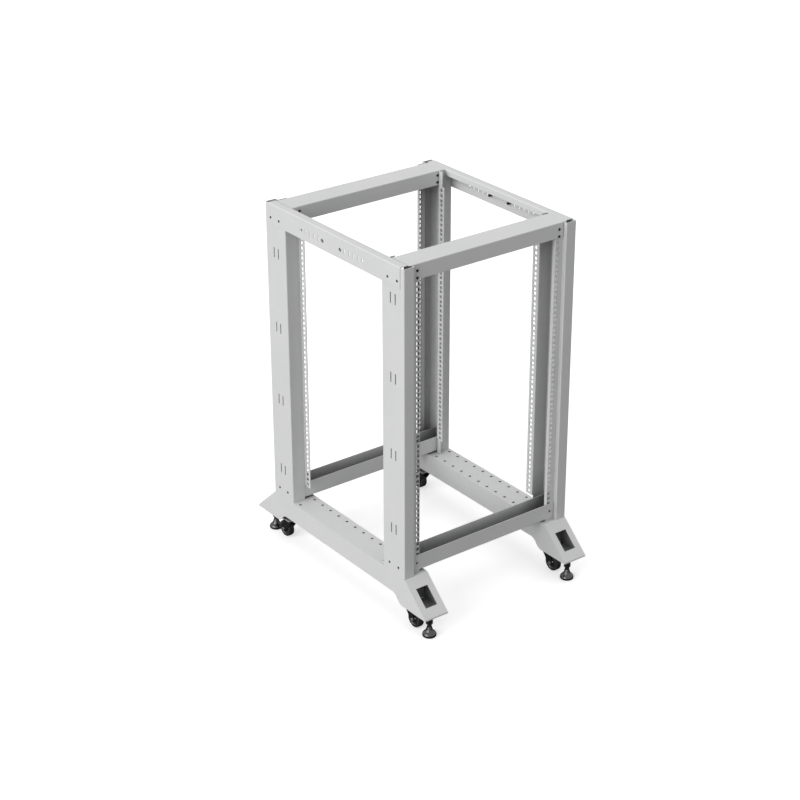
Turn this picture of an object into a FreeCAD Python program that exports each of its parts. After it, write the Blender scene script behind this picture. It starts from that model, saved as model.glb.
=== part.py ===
"""Four post open frame rack, 18 units high, on levelling feet and swivel casters.

Frame: millimetres, +Z up, +Y towards the back, +X to the right seen from the front.
The origin is on the floor, under the centre of the rack.
"""
import FreeCAD, Part
import math
import os

from FreeCAD import Vector

# ---------------------------------------------------------------- driving sizes
RACK_UNITS = 18
UNIT_HEIGHT = 44.45
UNIT_HOLES = (6.35, 22.225, 38.1)    # hole heights within one unit
HOLE_SIDE = 9.5                      # square holes for cage nuts
BAY_WIDTH = 450.0                    # clear width between the mounting flanges
HOLE_INSET = 7.55                    # hole column from the bay: the columns are 465.1 apart
RAIL_DEPTH = 600.0                   # front mounting face to back mounting face

FRAME_GAUGE = 2.0                    # sheet of posts, base rails and foot plates
BEAM_GAUGE = 1.5                     # sheet of beams
BEND_RADIUS = 0.7                    # inside radius of every bend, tight to clear the holes
FIT = 1.0                            # gap where a folded sheet ends beside another

POST_END = 48.0                      # post beyond the hole pattern, at either end
POST_WIDTH = 61.0                    # from the bay to the outer side of the post
POST_WALL = 94.0                     # depth of the post's side wall
MOUNT_FLANGE = 27.0                  # perforated flange beside the bay
MOUNT_RETURN = 10.0                  # stiffening return of the mounting flange
CORNER_STEP = 12.0                   # outer flange stands proud of the mounting face
INNER_FLANGE = 44.0                  # width of the flange that faces the rack's middle
CABLE_FLANGE = 24.0                  # perforated flange along the inner flange
CABLE_MARGIN = 4.0                   # that flange's ends beyond the hole pattern
CABLE_TONGUE = 15.0                  # narrow rest of it beyond, on the back right post only

SLOT_LENGTH = 30.0
SLOT_WIDTH = 4.0
SLOT_SPACING = 20.0
SLOT_UNITS = 5                       # units between one pair of slots and the next
SLOT_PAIRS = 4

BEAM_DEPTH = 73.0                    # top front and back beams
BEAM_FACE = 43.0
SIDE_BEAM_FACE = 58.0                # outer face of a top side beam
SIDE_BEAM_TOP = 24.0
SIDE_BEAM_LIP = 18.0
SIDE_BEAM_END = 15.0                 # from the post's outer flange to the beam's end
ROW_HOLE_SIDES = 12                  # flat sides that stand for the round of a row hole
SIDE_HOLE = 7.0                      # round holes in the side beam's face
SIDE_HOLES_AT = (40.0, 137.0)        # from the middle, to the front and to the back
SIDE_SLOT_START = 58.5               # upright slots between the round holes
SIDE_SLOT_COUNT = 4
SIDE_SLOT_LENGTH = 14.0
SIDE_HOLES_DOWN = 32.0               # row of holes and slots under the beam's top
CROSS_DEPTH = 54.0                   # bottom front and back beams
CROSS_FACE = 47.0
CROSS_RISE = 6.0                     # underside of a bottom beam over the base rail

BASE_WIDTH = 77.0
BASE_TOP = 160.0                     # the posts stand at this height
BASE_FACE = 62.0                     # side wall of the base rail between the feet
BASE_HOLE = 9.0
BASE_HOLE_PITCH = 40.0
BASE_HOLE_COUNT = 11
BASE_ROW_INNER = 14.5                # from the rail's inner side to the inner row
BASE_ROW_OUTER = 13.0                # from the rail's outer side to the outer row

FOOT_REACH = 92.0                    # sloped foot beyond the post's outer flange
FOOT_DROP = 88.0                     # from the rail's top to the foot's underside
FOOT_LIP = 4.0                       # upright lip at the tip of the foot
FOOT_LENGTH = 102.0                  # foot's flat underside, from the tip to the heel
FOOT_CURVE = 46.0                    # run of the curve from the heel up to the rail
FOOT_BEND = 10.0                     # outside radius of the bend at the top of the foot
WINDOW_WIDTH = 39.0
WINDOW_LENGTH = 59.0
WINDOW_TOP = 35.0                    # along the slope, from the bend to the window

PLATE_END = 8.0                      # foot plate's end from the foot's tip
LEVELER_INSET = 32.0                 # levelling stud from the foot's tip
PAD_RADIUS = 19.5
PAD_RIM = 6.0
PAD_LEDGE = 0.6                      # rim around the tapered body
CONE_SIDES = 24
CONE_RADIUS = 6.2                    # top of the tapered body, under the hexagon
CONE_TOP = 28.0
HEX_ACROSS = 18.0                    # hexagon that a spanner turns
HEX_TOP = 47.0
STUD_RADIUS = 5.0
STUD_CLEARANCE = 0.4
STUD_TOP = 80.0                      # end of the stud over the floor, inside the foot

WHEEL_RADIUS = 25.0
WHEEL_WIDTH = 20.0
WHEEL_LIFT = 0.5                     # wheels hang just clear while the feet carry
TRAIL = 22.0                         # wheel axle behind the swivel axis
CASTER_AXIS = 9.0                    # swivel axis inward of the mounting face
CASTER_PLATE = 50.0
CASTER_PLATE_GAUGE = 2.5
SWIVEL_GAP = 5.0                     # between the fork and the plate
RACE_RADIUS = 14.0                   # ball race in that gap
RACE_GAP = 0.3                       # running gap over and under the fork's crown
KINGPIN_RADIUS = 4.0
KINGPIN_HEAD = 2.5
KINGPIN_HEAD_ACROSS = 13.0
FORK_GAUGE = 2.0
FORK_GAP = 1.5                       # between the wheel's side and a fork cheek
FORK_BEND = 1.0
CROWN_RADIUS = 17.0                  # fork's crown, from the swivel axis
CHEEK_END = 8.0                      # cheek around the axle
CHEEK_SHOULDER = 12.0                # straight edge under the crown, ahead of the axle
CHEEK_HEEL = 8.0                     # the same behind the swivel axis
AXLE_RADIUS = 3.0
AXLE_HEAD = 3.0
AXLE_HEAD_ACROSS = 10.0
RUNNING_FIT = 0.05                   # radial clearance of pins in their holes

# ---------------------------------------------------------------- worked-out sizes
HALF_BAY = BAY_WIDTH / 2
HALF_WIDTH = HALF_BAY + POST_WIDTH
HALF_DEPTH = RAIL_DEPTH / 2
COLUMN = HALF_BAY + HOLE_INSET
STEP = HALF_BAY + MOUNT_FLANGE
HOLE_HEIGHT = RACK_UNITS * UNIT_HEIGHT
POST_LENGTH = HOLE_HEIGHT + 2 * POST_END
HOLE_BOTTOM = BASE_TOP + POST_END
POST_TOP = BASE_TOP + POST_LENGTH
POST_FRONT = HALF_DEPTH + CORNER_STEP
POST_BACK = POST_FRONT - POST_WALL
TOP = POST_TOP + BEAM_GAUGE
BEAM_SHIFT = HALF_DEPTH + BEAM_GAUGE + POST_BACK + FRAME_GAUGE
FOOT_UNDERSIDE = BASE_TOP - FOOT_DROP
FOOT_TIP = POST_FRONT + FOOT_REACH
FOOT_HEEL = FOOT_TIP - FOOT_LENGTH
FOOT_SLOPE = math.atan2(FOOT_DROP - FOOT_LIP, FOOT_REACH)
BASE_MIDDLE = -HALF_WIDTH + BASE_WIDTH / 2
LEVELER_Y = -FOOT_TIP + LEVELER_INSET
CASTER_Y = -HALF_DEPTH + CASTER_AXIS
AXLE_Y = CASTER_Y - TRAIL
AXLE_Z = WHEEL_RADIUS + WHEEL_LIFT
PLATE_UNDERSIDE = FOOT_UNDERSIDE - CASTER_PLATE_GAUGE
FORK_TOP = PLATE_UNDERSIDE - SWIVEL_GAP
FORK_HALF = WHEEL_WIDTH / 2 + FORK_GAP + FORK_GAUGE
UP = Vector(0, 0, 1)

CORNERS = {
    "front_left": (-1, -1),
    "front_right": (1, -1),
    "back_left": (-1, 1),
    "back_right": (1, 1),
}


# ---------------------------------------------------------------- shape helpers
def unit(vector):
    """Return the direction of a vector."""
    result = Vector(vector)
    result.normalize()
    return result


def rounded_edges(points, radii):
    """Edges of an open polyline whose inner corners are tangent arcs."""
    edges = []
    start = points[0]
    for index in range(1, len(points) - 1):
        corner = points[index]
        before = unit(points[index - 1] - corner)
        after = unit(points[index + 1] - corner)
        half_angle = before.getAngle(after) / 2
        radius = radii[index]
        setback = radius / math.tan(half_angle)
        arc_start = corner + before * setback
        arc_end = corner + after * setback
        bisector = unit(before + after)
        centre = corner + bisector * (radius / math.sin(half_angle))
        arc_middle = centre - bisector * radius
        edges.append(Part.LineSegment(start, arc_start).toShape())
        edges.append(Part.Arc(arc_start, arc_middle, arc_end).toShape())
        start = arc_end
    edges.append(Part.LineSegment(start, points[-1]).toShape())
    return edges


def sheet_section(points, gauge, radii=None):
    """Face of a bent sheet in the XY plane; the points follow its left side.

    radii are the inside radii at the points, or None for the usual bend.
    """
    radii = radii or [BEND_RADIUS] * len(points)
    left = [Vector(x, y, 0) for x, y in points]
    right = []
    left_radii = []
    right_radii = []
    for index, point in enumerate(left):
        incoming = unit(point - left[index - 1]) if index else None
        outgoing = unit(left[index + 1] - point) if index + 1 < len(left) else None
        incoming = incoming or outgoing
        outgoing = outgoing or incoming
        turn = incoming.cross(outgoing).z
        normal_in = Vector(incoming.y, -incoming.x, 0)
        normal_out = Vector(outgoing.y, -outgoing.x, 0)
        mitre = unit(normal_in + normal_out)
        right.append(point + mitre * (gauge / mitre.dot(normal_in)))
        left_radii.append(radii[index] if turn > 0 else radii[index] + gauge)
        right_radii.append(radii[index] + gauge if turn > 0 else radii[index])
    edges = rounded_edges(left, left_radii)
    edges.append(Part.LineSegment(left[-1], right[-1]).toShape())
    edges += rounded_edges(right[::-1], right_radii[::-1])
    edges.append(Part.LineSegment(right[0], left[0]).toShape())
    return Part.Face(Part.Wire(edges))


def along_x(section, start, end):
    """Extrude a section drawn as (Y, Z) in the XY plane from start to end along X."""
    turn = FreeCAD.Rotation(Vector(0, 1, 0), UP, Vector(1, 0, 0), "ZXY")
    placed = section.copy()
    placed.Placement = FreeCAD.Placement(Vector(start, 0, 0), turn)
    return placed.extrude(Vector(end - start, 0, 0))


def along_y(section, start, end):
    """Extrude a section drawn as (X, Z) in the XY plane from start to end along Y."""
    turn = FreeCAD.Rotation(Vector(1, 0, 0), 90)
    placed = section.copy()
    placed.Placement = FreeCAD.Placement(Vector(0, start, 0), turn)
    return placed.extrude(Vector(0, end - start, 0))


def along_z(section, start, end):
    """Extrude a section drawn in the XY plane from start to end along Z."""
    placed = section.copy()
    placed.translate(Vector(0, 0, start))
    return placed.extrude(Vector(0, 0, end - start))


def block(x_range, y_range, z_range):
    """Box between two values on each axis, given in either order."""
    low = [min(pair) for pair in (x_range, y_range, z_range)]
    size = [abs(pair[1] - pair[0]) for pair in (x_range, y_range, z_range)]
    return Part.makeBox(*size, Vector(*low))


def rod(radius, x, y, bottom, top):
    """Upright cylinder."""
    return Part.makeCylinder(radius, top - bottom, Vector(x, y, bottom), UP)


def rod_x(radius, start, end, y, z):
    """Cylinder along X."""
    return Part.makeCylinder(radius, end - start, Vector(start, y, z), Vector(1, 0, 0))


def polygon(sides, radius, x=0.0, y=0.0, z=0.0):
    """Closed level wire with equal sides around a point."""
    corners = []
    for index in range(sides + 1):
        angle = 2 * math.pi * index / sides
        corners.append(Vector(x + radius * math.cos(angle), y + radius * math.sin(angle), z))
    return Part.makePolygon(corners)


def taper(sides, low, high):
    """Solid between two closed level wires with the same number of sides."""
    faces = [Part.Face(low), Part.Face(high)]
    below = [vertex.Point for vertex in low.OrderedVertexes]
    above = [vertex.Point for vertex in high.OrderedVertexes]
    for index in range(sides):
        after = (index + 1) % sides
        side = [below[index], below[after], above[after], above[index], below[index]]
        faces.append(Part.Face(Part.makePolygon(side)))
    return Part.Solid(Part.makeShell(faces))


def hexagon(across, x=0.0, y=0.0):
    """Level hexagon around a point, drawn in the XY plane."""
    return Part.Face(polygon(6, across / math.sqrt(3), x, y))


def row_hole(radius, x, y, bottom, top):
    """Upright cut for one of many like holes, drawn with a few flat sides."""
    return along_z(Part.Face(polygon(ROW_HOLE_SIDES, radius, x, y)), bottom, top)


def to_corner(shape, side, end):
    """Mirror a shape made for the front left corner (-X, -Y) to another corner."""
    placed = shape.copy()
    if side > 0:
        placed = placed.mirror(Vector(0, 0, 0), Vector(1, 0, 0))
    if end > 0:
        placed = placed.mirror(Vector(0, 0, 0), Vector(0, 1, 0))
    return placed


def save(name, shape):
    """Write one node."""
    shape.exportStep("parts/" + name + ".step")


# ---------------------------------------------------------------- posts
def hole_heights():
    """Heights of the mounting holes."""
    return [
        HOLE_BOTTOM + row * UNIT_HEIGHT + offset
        for row in range(RACK_UNITS)
        for offset in UNIT_HOLES
    ]


def make_post(tongue):
    """Front left post: one bent sheet with its holes and slots.

    tongue is the width of the cable flange above and below its perforated part.
    """
    mount_y = -HALF_DEPTH
    inner_x = -HALF_WIDTH + INNER_FLANGE
    outline = [
        (-HALF_BAY, mount_y + MOUNT_RETURN),
        (-HALF_BAY, mount_y),
        (-STEP, mount_y),
        (-STEP, -POST_FRONT),
        (-HALF_WIDTH, -POST_FRONT),
        (-HALF_WIDTH, -POST_BACK),
        (inner_x, -POST_BACK),
        (inner_x, -POST_BACK + CABLE_FLANGE),
    ]
    post = along_z(sheet_section(outline, FRAME_GAUGE), BASE_TOP, POST_TOP)
    half = HOLE_SIDE / 2
    cable_y = -POST_BACK + CABLE_FLANGE / 2
    mounting = (mount_y - FIT, mount_y + FRAME_GAUGE + FIT)
    cable = (inner_x - FRAME_GAUGE - FIT, inner_x + FRAME_GAUGE + FIT)
    cuts = []
    for height in hole_heights():
        rows = (height - half, height + half)
        cuts.append(block((-COLUMN - half, -COLUMN + half), mounting, rows))
        cuts.append(block(cable, (cable_y - half, cable_y + half), rows))
    wall = (-HALF_WIDTH - FIT, -HALF_WIDTH + FRAME_GAUGE + FIT)
    wall_middle = -(POST_FRONT + POST_BACK) / 2
    for pair in range(SLOT_PAIRS):
        middle = HOLE_BOTTOM + HOLE_HEIGHT - (1 + pair * SLOT_UNITS) * UNIT_HEIGHT
        rows = (middle - SLOT_LENGTH / 2, middle + SLOT_LENGTH / 2)
        for offset in (-SLOT_SPACING / 2, SLOT_SPACING / 2):
            slot_y = wall_middle + offset
            cuts.append(block(wall, (slot_y - SLOT_WIDTH / 2, slot_y + SLOT_WIDTH / 2), rows))
    cut_from = tongue if tongue else -FRAME_GAUGE - FIT
    cut_away = (-POST_BACK + cut_from, -POST_BACK + CABLE_FLANGE + FIT)
    margin = POST_END - CABLE_MARGIN
    cuts.append(block(cable, cut_away, (BASE_TOP, BASE_TOP + margin)))
    cuts.append(block(cable, cut_away, (POST_TOP - margin, POST_TOP)))
    return post.cut(Part.Compound(cuts))


def turned_post(post, side, end):
    """Place a post at its corner, turned end for end where needed."""
    placed = post.copy()
    middle = Vector(0, 0, (BASE_TOP + POST_TOP) / 2)
    if side > 0 and end > 0:
        placed.rotate(middle, UP, 180)
    elif side > 0:
        placed.rotate(middle, Vector(0, 1, 0), 180)
    elif end > 0:
        placed.rotate(middle, Vector(1, 0, 0), 180)
    return placed


# ---------------------------------------------------------------- top frame
def make_top_beam():
    """Front beam: an inverted channel, its front wall flat on the mounting flanges.

    The back wall and the returns stop at the bay, so the same beam also fits
    behind the inner flanges of the back posts.
    """
    front = -HALF_DEPTH - BEAM_GAUGE
    back = front + BEAM_DEPTH
    below = TOP - BEAM_FACE
    outline = [(front, below), (front, TOP), (back, TOP), (back, below)]
    reach = HALF_WIDTH - SIDE_BEAM_TOP
    beam = along_x(sheet_section(outline, BEAM_GAUGE), -reach, reach)
    tab = STEP - FRAME_GAUGE - FIT
    wall = HALF_BAY - FIT
    seat = -HALF_DEPTH + FRAME_GAUGE
    cuts = []
    for side in (-1, 1):
        cuts.append(block((side * tab, side * HALF_WIDTH), (front - FIT, back), (below, POST_TOP)))
        cuts.append(block((side * wall, side * tab), (-HALF_DEPTH, seat), (below, POST_TOP)))
        cuts.append(block((side * wall, side * tab), (seat, back + FIT), (below, POST_TOP)))
        cuts.append(block((side * tab, side * HALF_WIDTH), (back - FIT, back + FIT), (below, POST_TOP)))
    return beam.cut(Part.Compound(cuts))


def make_side_beam():
    """Left beam: laps the outside of both posts, with a lip between them."""
    outer = -HALF_WIDTH - BEAM_GAUGE
    inner = -HALF_WIDTH + SIDE_BEAM_TOP
    outline = [(outer, TOP - SIDE_BEAM_FACE), (outer, TOP), (inner, TOP), (inner, TOP - SIDE_BEAM_LIP)]
    end = POST_FRONT - SIDE_BEAM_END
    beam = along_y(sheet_section(outline, BEAM_GAUGE), end, -end)
    cuts = []
    for direction in (-1, 1):
        beside_post = (direction * (POST_BACK - FIT), direction * POST_FRONT)
        under_top = (POST_TOP - SIDE_BEAM_LIP, POST_TOP)
        cuts.append(block((-HALF_WIDTH, inner + FIT), beside_post, under_top))
        row = TOP - SIDE_HOLES_DOWN
        for distance in SIDE_HOLES_AT:
            hole = row_hole(SIDE_HOLE / 2, 0, 0, -FIT, BEAM_GAUGE + FIT)
            hole.rotate(Vector(0, 0, 0), Vector(0, 1, 0), 90)
            hole.translate(Vector(outer, direction * distance, row))
            cuts.append(hole)
        for index in range(SIDE_SLOT_COUNT):
            y = direction * (SIDE_SLOT_START + index * SLOT_SPACING)
            across = (y - SLOT_WIDTH / 2, y + SLOT_WIDTH / 2)
            rows = (row - SIDE_SLOT_LENGTH / 2, row + SIDE_SLOT_LENGTH / 2)
            cuts.append(block((outer - FIT, outer + BEAM_GAUGE + FIT), across, rows))
    return beam.cut(Part.Compound(cuts))


# ---------------------------------------------------------------- base
def make_cross_beam():
    """Front bottom beam: an open-topped channel, its front wall on the mounting flanges."""
    front = -HALF_DEPTH - BEAM_GAUGE
    back = front + CROSS_DEPTH
    bottom = BASE_TOP + CROSS_RISE
    top = bottom + CROSS_FACE
    outline = [(back, top), (back, bottom), (front, bottom), (front, top)]
    reach = STEP - FRAME_GAUGE - FIT
    beam = along_x(sheet_section(outline, BEAM_GAUGE), -reach, reach)
    cuts = []
    for side in (-1, 1):
        beyond_bay = (side * (HALF_BAY - FIT), side * HALF_WIDTH)
        cuts.append(block(beyond_bay, (-HALF_DEPTH, back + FIT), (bottom - FIT, top + FIT)))
    return beam.cut(Part.Compound(cuts))


def foot_points(end):
    """Points (Y, Z) down one foot from the knee to the lip, and their inside radii."""
    points = [
        (end * POST_FRONT, BASE_TOP),
        (end * FOOT_TIP, FOOT_UNDERSIDE + FOOT_LIP),
        (end * FOOT_TIP, FOOT_UNDERSIDE),
    ]
    return points, [FOOT_BEND - FRAME_GAUGE, BEND_RADIUS, 0]


def half_underside():
    """Edges along the underside of a side wall, from the lip to the middle of the rail."""
    waist = BASE_TOP - BASE_FACE
    calf = FOOT_HEEL - FOOT_CURVE
    pull = FOOT_CURVE / 2
    curve = Part.BezierCurve()
    curve.setPoles([
        Vector(0, FOOT_HEEL, FOOT_UNDERSIDE),
        Vector(0, FOOT_HEEL - pull, FOOT_UNDERSIDE),
        Vector(0, calf + pull, waist),
        Vector(0, calf, waist),
    ])
    start = Vector(0, FOOT_TIP, FOOT_UNDERSIDE)
    flat = Part.LineSegment(start, Vector(0, FOOT_HEEL, FOOT_UNDERSIDE)).toShape()
    middle = Part.LineSegment(Vector(0, calf, waist), Vector(0, 0, waist)).toShape()
    return Part.Wire([flat, curve.toShape(), middle])


def side_wall():
    """Side wall of a base rail as a face in the YZ plane."""
    points, radii = foot_points(1)
    corners = [Vector(0, 0, BASE_TOP)] + [Vector(0, y, z) for y, z in points]
    outside = [0] + [radius + FRAME_GAUGE for radius in radii]
    edges = rounded_edges(corners, outside) + half_underside().Edges
    half = Part.Wire(Part.sortEdges(edges)[0])
    other = half.mirror(Vector(0, 0, 0), Vector(0, 1, 0))
    return Part.Face(Part.Wire(Part.sortEdges(half.Edges + other.Edges)[0]))


def make_base_rail(outer_row):
    """Left base rail: folded sheet, open below, with a sloped foot at either end.

    outer_row lists which places of the outer row of holes are punched.
    """
    outer = -HALF_WIDTH
    inner = outer + BASE_WIDTH
    front, front_radii = foot_points(-1)
    back, back_radii = foot_points(1)
    top = sheet_section(front[::-1] + back, FRAME_GAUGE, front_radii[::-1] + back_radii)
    walls = []
    for x in (outer, inner - FRAME_GAUGE):
        wall = side_wall()
        wall.translate(Vector(x, 0, 0))
        walls.append(wall.extrude(Vector(FRAME_GAUGE, 0, 0)))
    rail = along_x(top, outer, inner).fuse(walls).removeSplitter()

    cuts = []
    last = BASE_HOLE_COUNT - 1
    for x, places in ((outer + BASE_ROW_OUTER, outer_row), (inner - BASE_ROW_INNER, range(last + 1))):
        for place in places:
            y = (place - last / 2) * BASE_HOLE_PITCH
            shape = rod if place in (0, last) else row_hole
            cuts.append(shape(BASE_HOLE / 2, x, y, BASE_TOP - FRAME_GAUGE - FIT, BASE_TOP + FIT))
    window = block(
        (BASE_MIDDLE - WINDOW_WIDTH / 2, BASE_MIDDLE + WINDOW_WIDTH / 2),
        (-WINDOW_TOP, -WINDOW_TOP - WINDOW_LENGTH),
        (-FRAME_GAUGE - FIT, FIT),
    )
    window.rotate(Vector(0, 0, 0), Vector(1, 0, 0), math.degrees(FOOT_SLOPE))
    window.translate(Vector(0, -POST_FRONT, BASE_TOP))
    cuts.append(window)
    cuts.append(window.mirror(Vector(0, 0, 0), Vector(0, 1, 0)))
    return rail.cut(Part.Compound(cuts))


def make_foot_plate():
    """Front left foot plate: closes the foot from below and carries stud and caster.

    Past the foot's heel it goes on as a tongue, as wide as the caster's plate.
    """
    inside = BASE_WIDTH / 2 - FRAME_GAUGE
    beside = CASTER_PLATE / 2
    top = FOOT_UNDERSIDE + FRAME_GAUGE
    rows = (FOOT_UNDERSIDE, top)
    sole = (BASE_MIDDLE - inside, BASE_MIDDLE + inside)
    tongue = (BASE_MIDDLE - beside, BASE_MIDDLE + beside)
    plate = block(sole, (-FOOT_TIP + PLATE_END, -FOOT_HEEL), rows)
    plate = plate.fuse(block(tongue, (-FOOT_HEEL, CASTER_Y + beside), rows)).removeSplitter()
    hole = STUD_RADIUS + STUD_CLEARANCE
    return plate.cut(rod(hole, BASE_MIDDLE, LEVELER_Y, FOOT_UNDERSIDE - FIT, top + FIT))


# ---------------------------------------------------------------- levelling feet
def make_leveler():
    """Levelling foot: round pad, tapered body, hexagon and stud."""
    pad = rod(PAD_RADIUS, BASE_MIDDLE, LEVELER_Y, 0, PAD_RIM)
    low = polygon(CONE_SIDES, PAD_RADIUS - PAD_LEDGE, BASE_MIDDLE, LEVELER_Y, PAD_RIM)
    high = polygon(CONE_SIDES, CONE_RADIUS, BASE_MIDDLE, LEVELER_Y, CONE_TOP)
    body = taper(CONE_SIDES, low, high)
    spanner = along_z(hexagon(HEX_ACROSS, BASE_MIDDLE, LEVELER_Y), CONE_TOP, HEX_TOP)
    stud = rod(STUD_RADIUS, BASE_MIDDLE, LEVELER_Y, HEX_TOP, STUD_TOP)
    return pad.fuse([body, spanner, stud])


# ---------------------------------------------------------------- casters
def make_caster_plate():
    """Plate under the foot plate, with the ball race and the kingpin that hold the fork."""
    half = CASTER_PLATE / 2
    x_range = (BASE_MIDDLE - half, BASE_MIDDLE + half)
    plate = block(x_range, (CASTER_Y - half, CASTER_Y + half), (PLATE_UNDERSIDE, FOOT_UNDERSIDE))
    head_top = FORK_TOP - FORK_GAUGE - RACE_GAP
    race = rod(RACE_RADIUS, BASE_MIDDLE, CASTER_Y, FORK_TOP + RACE_GAP, PLATE_UNDERSIDE)
    pin = rod(KINGPIN_RADIUS, BASE_MIDDLE, CASTER_Y, head_top, PLATE_UNDERSIDE)
    hexagonal = hexagon(KINGPIN_HEAD_ACROSS, BASE_MIDDLE, CASTER_Y)
    head = along_z(hexagonal, head_top - KINGPIN_HEAD, head_top)
    return plate.fuse([race, pin, head])


def make_fork():
    """Swivelling fork: a folded sheet over the wheel, with its axle bolt."""
    outline = [
        (BASE_MIDDLE - FORK_HALF, AXLE_Z - CHEEK_END),
        (BASE_MIDDLE - FORK_HALF, FORK_TOP),
        (BASE_MIDDLE + FORK_HALF, FORK_TOP),
        (BASE_MIDDLE + FORK_HALF, AXLE_Z - CHEEK_END),
    ]
    front = AXLE_Y - CHEEK_END
    back = CASTER_Y + CROWN_RADIUS
    fold = sheet_section(outline, FORK_GAUGE, [FORK_BEND] * len(outline))
    fork = along_y(fold, front - FIT, back)
    side_view = [
        Vector(0, front, AXLE_Z - CHEEK_END),
        Vector(0, front, FORK_TOP - CHEEK_SHOULDER),
        Vector(0, CASTER_Y - CROWN_RADIUS, FORK_TOP),
        Vector(0, back, FORK_TOP),
        Vector(0, back, FORK_TOP - CHEEK_HEEL),
        Vector(0, AXLE_Y + CHEEK_END, AXLE_Z - CHEEK_END),
    ]
    cheek = Part.Face(Part.makePolygon(side_view + side_view[:1]))
    cheek.translate(Vector(BASE_MIDDLE - FORK_HALF, 0, 0))
    fork = fork.common(cheek.extrude(Vector(2 * FORK_HALF, 0, 0)))
    pin_hole = KINGPIN_RADIUS + RUNNING_FIT
    fork = fork.cut(rod(pin_hole, BASE_MIDDLE, CASTER_Y, FORK_TOP - 2 * FORK_GAUGE, FORK_TOP + FIT))
    start = BASE_MIDDLE - FORK_HALF
    end = BASE_MIDDLE + FORK_HALF
    axle = [rod_x(AXLE_RADIUS, start, end, AXLE_Y, AXLE_Z)]
    for x in (start - AXLE_HEAD, end):
        head = hexagon(AXLE_HEAD_ACROSS)
        head.rotate(Vector(0, 0, 0), Vector(0, 1, 0), 90)
        head.translate(Vector(x, AXLE_Y, AXLE_Z))
        axle.append(head.extrude(Vector(AXLE_HEAD, 0, 0)))
    return fork.fuse(axle)


def make_wheel():
    """Caster wheel, bored for its axle."""
    start = BASE_MIDDLE - WHEEL_WIDTH / 2
    end = start + WHEEL_WIDTH
    wheel = rod_x(WHEEL_RADIUS, start, end, AXLE_Y, AXLE_Z)
    return wheel.cut(rod_x(AXLE_RADIUS + RUNNING_FIT, start - FIT, end + FIT, AXLE_Y, AXLE_Z))


# ---------------------------------------------------------------- assembly
def main():
    os.makedirs("parts", exist_ok=True)
    post = make_post(0)
    tongued_post = make_post(CABLE_TONGUE)
    corner_pieces = {
        "foot_plate": make_foot_plate(),
        "leveler_foot": make_leveler(),
        "caster_plate": make_caster_plate(),
        "caster_fork": make_fork(),
        "caster_wheel": make_wheel(),
    }
    for corner, (side, end) in CORNERS.items():
        chosen = tongued_post if corner == "back_right" else post
        save("post_" + corner, turned_post(chosen, side, end))
        for name, shape in corner_pieces.items():
            save(name + "_" + corner, to_corner(shape, side, end))
    for name, beam in (("top_beam", make_top_beam()), ("bottom_beam", make_cross_beam())):
        save(name + "_front", beam)
        beam.translate(Vector(0, BEAM_SHIFT, 0))
        save(name + "_back", beam)
    side_beam = make_side_beam()
    places = range(BASE_HOLE_COUNT)
    for name, side, outer_row in (("left", -1, (places[0], places[-1])), ("right", 1, places)):
        save("top_beam_" + name, to_corner(side_beam, side, -1))
        save("base_rail_" + name, to_corner(make_base_rail(outer_row), side, -1))


main()
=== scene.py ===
"""Looks of the four post open frame rack: finishes, fasteners, wheels, feet, studio and camera.

Frame: metres, +Z up, +Y towards the back, +X to the right seen from the front.
"""

import math

import bmesh
import bpy
from mathutils import Matrix, Vector


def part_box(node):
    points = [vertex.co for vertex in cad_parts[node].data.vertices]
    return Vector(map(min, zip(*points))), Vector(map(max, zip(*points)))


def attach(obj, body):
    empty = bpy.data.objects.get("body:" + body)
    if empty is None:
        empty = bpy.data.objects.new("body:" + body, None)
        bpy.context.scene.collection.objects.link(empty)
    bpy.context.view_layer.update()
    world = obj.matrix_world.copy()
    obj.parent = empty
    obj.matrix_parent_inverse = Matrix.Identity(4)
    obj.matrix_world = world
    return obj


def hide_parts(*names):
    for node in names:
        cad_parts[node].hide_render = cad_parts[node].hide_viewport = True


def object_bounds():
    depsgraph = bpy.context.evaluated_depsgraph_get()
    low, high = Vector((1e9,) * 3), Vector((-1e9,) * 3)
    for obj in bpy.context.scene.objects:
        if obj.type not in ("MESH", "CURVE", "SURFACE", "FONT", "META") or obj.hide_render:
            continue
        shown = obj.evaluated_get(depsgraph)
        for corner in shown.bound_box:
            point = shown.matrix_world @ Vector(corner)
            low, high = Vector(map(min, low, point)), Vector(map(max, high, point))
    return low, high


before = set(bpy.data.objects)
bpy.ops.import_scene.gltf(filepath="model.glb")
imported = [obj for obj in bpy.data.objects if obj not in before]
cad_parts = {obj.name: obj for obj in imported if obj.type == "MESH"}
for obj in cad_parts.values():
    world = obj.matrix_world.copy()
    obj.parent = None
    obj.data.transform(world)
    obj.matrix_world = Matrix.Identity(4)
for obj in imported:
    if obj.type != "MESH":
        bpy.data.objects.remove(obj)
cad_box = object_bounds()

MM = 0.001
CORNERS = ("front_left", "front_right", "back_left", "back_right")

# Sizes in millimetres.
FLATS = (37.0, 49.0)        # hexagon of a levelling foot, above the floor
SPANNER = 17.0              # across the flats of that hexagon and of its lock nut
STUD_RADIUS = 5.0
THREAD_DEPTH = 0.55
THREAD_PITCH = 1.5
WASHER_GAUGE = 1.6          # room that a washer takes under the foot plate
NUT_HEIGHT = 8.0
SEAT_GAP = 0.05             # between pieces that lie on one another
TYRE_START = 16.8           # radius where a wheel's disc ends and its tyre begins
WHEEL_BORE = 3.05
FORK_GAUGE = 2.0
FORK_BEND = 3.0             # outside radius of a fork's bends
FORK_EASE = 0.35            # rounding of a fork's sheared edges
BLANK_DROP = 20.0           # from the axle down to the end of a fork's uncut sheet
BLANK_REACH = 40.0          # how far that sheet runs past the axle and the swivel
AXLE_RADIUS = 3.0
AXLE_HEAD = 3.0             # height of the axle's head and nut
AXLE_SPANNER = 10.0
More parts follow.
